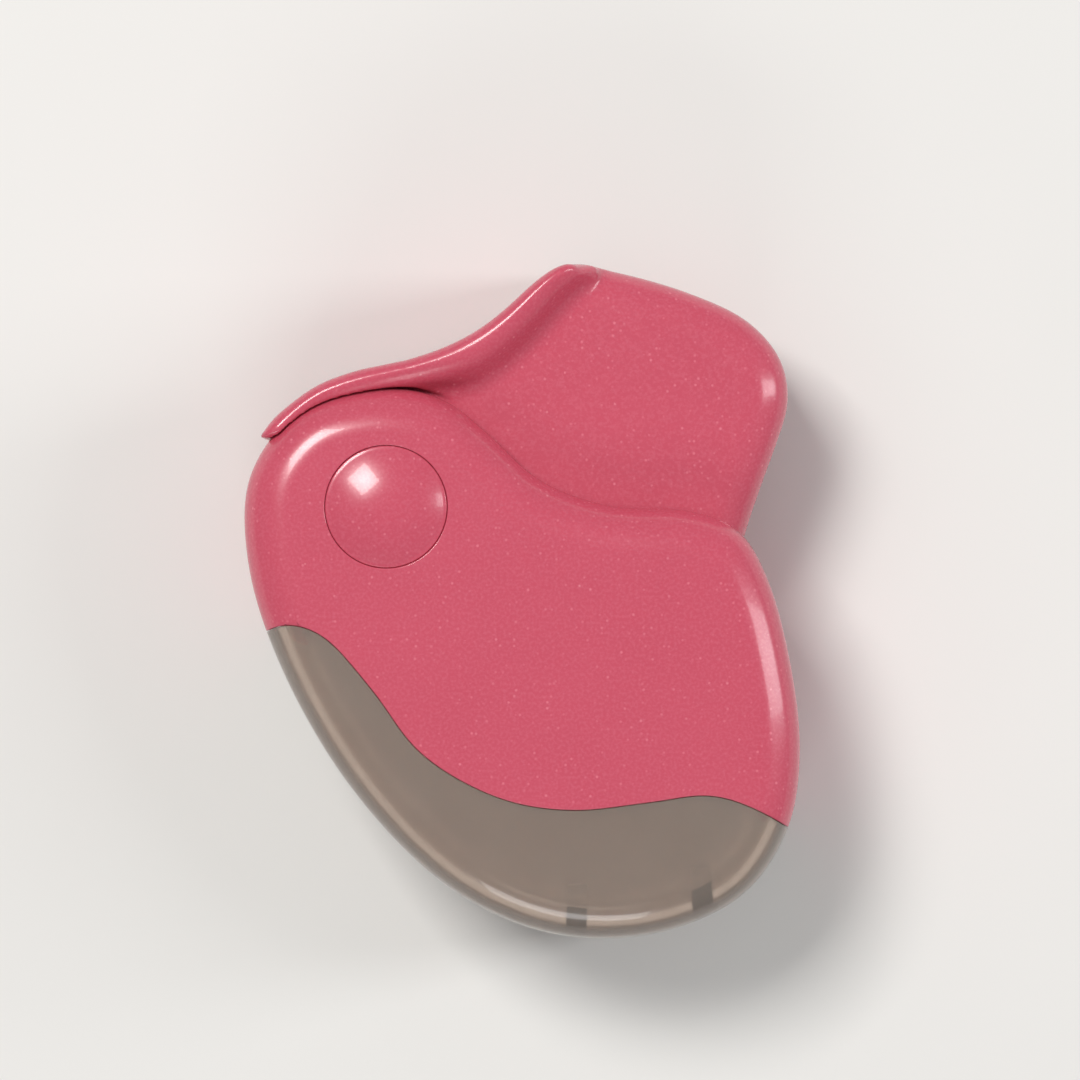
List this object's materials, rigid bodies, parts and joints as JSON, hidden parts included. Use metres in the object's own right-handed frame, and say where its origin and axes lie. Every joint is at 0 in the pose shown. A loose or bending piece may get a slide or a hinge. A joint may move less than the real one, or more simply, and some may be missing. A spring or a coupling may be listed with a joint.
{
  "type": "corner rounder",
  "caption": "Palm-size squeeze punch that rounds paper corners: rounded plastic body with a thumb lever, a steel die set behind a side slot and a clear tray for offcuts.",
  "frame": {"origin": "on the plane the tool lies on, under the middle of its outline", "axes": "the tool lies on its rear cheek: +Z is across the tool, out of the front cheek; +X points out of the paper mouth; +Y runs from the tray to the thumb lever"},
  "size_m": [0.0557, 0.0675, 0.0262],
  "materials": {
    "pink_plastic": "glossy moulded plastic with a fine pearl fleck",
    "smoke_plastic": "glossy translucent taupe plastic",
    "cast_zinc": "bare die-cast zinc, dull grey",
    "tool_steel": "ground tool steel",
    "bright_steel": "bright drawn steel"
  },
  "bodies": {
    "housing": {"front_shell": "pink_plastic", "rear_shell": "pink_plastic", "pivot_cap_front": "pink_plastic", "pivot_cap_rear": "pink_plastic", "pivot_pin": "bright_steel", "punch_guide": "cast_zinc", "paper_fence": "bright_steel", "die_plate": "tool_steel", "die_screw_1": "bright_steel", "die_screw_2": "bright_steel", "die_dowel_1": "bright_steel", "die_dowel_2": "bright_steel", "return_spring": "bright_steel", "shell_screw_1": "bright_steel", "shell_screw_2": "bright_steel", "shell_screw_3": "bright_steel", "shell_screw_4": "bright_steel"},
    "thumb_lever": {"lever": "pink_plastic", "punch_drive_pin": "bright_steel"},
    "punch_slide": {"punch": "tool_steel"},
    "tray": {"chip_tray": "smoke_plastic"}
  },
  "joints": [
    {"name": "lever_press", "type": "hinge", "parent": "housing", "child": "thumb_lever", "pos_m": [-0.01355, 0.00945, 0.0125], "axis": [0, 0, -1], "range_deg": [0, 8], "stiffness_Nm_per_rad": 0.08, "springref_deg": -14.32, "deforming": ["return_spring"]},
    {"name": "punch_stroke", "type": "slide", "parent": "housing", "child": "punch_slide", "axis": [0, -1, 0], "range_m": [0, 0.00412]},
    {"name": "tray_pull", "type": "slide", "parent": "housing", "child": "tray", "axis": [0, -1, 0], "range_m": [0, 0.012]}
  ],
  "couplings": [
    {"joint": "punch_stroke", "follows": "lever_press", "m_per_rad": 0.02945}
  ]
}
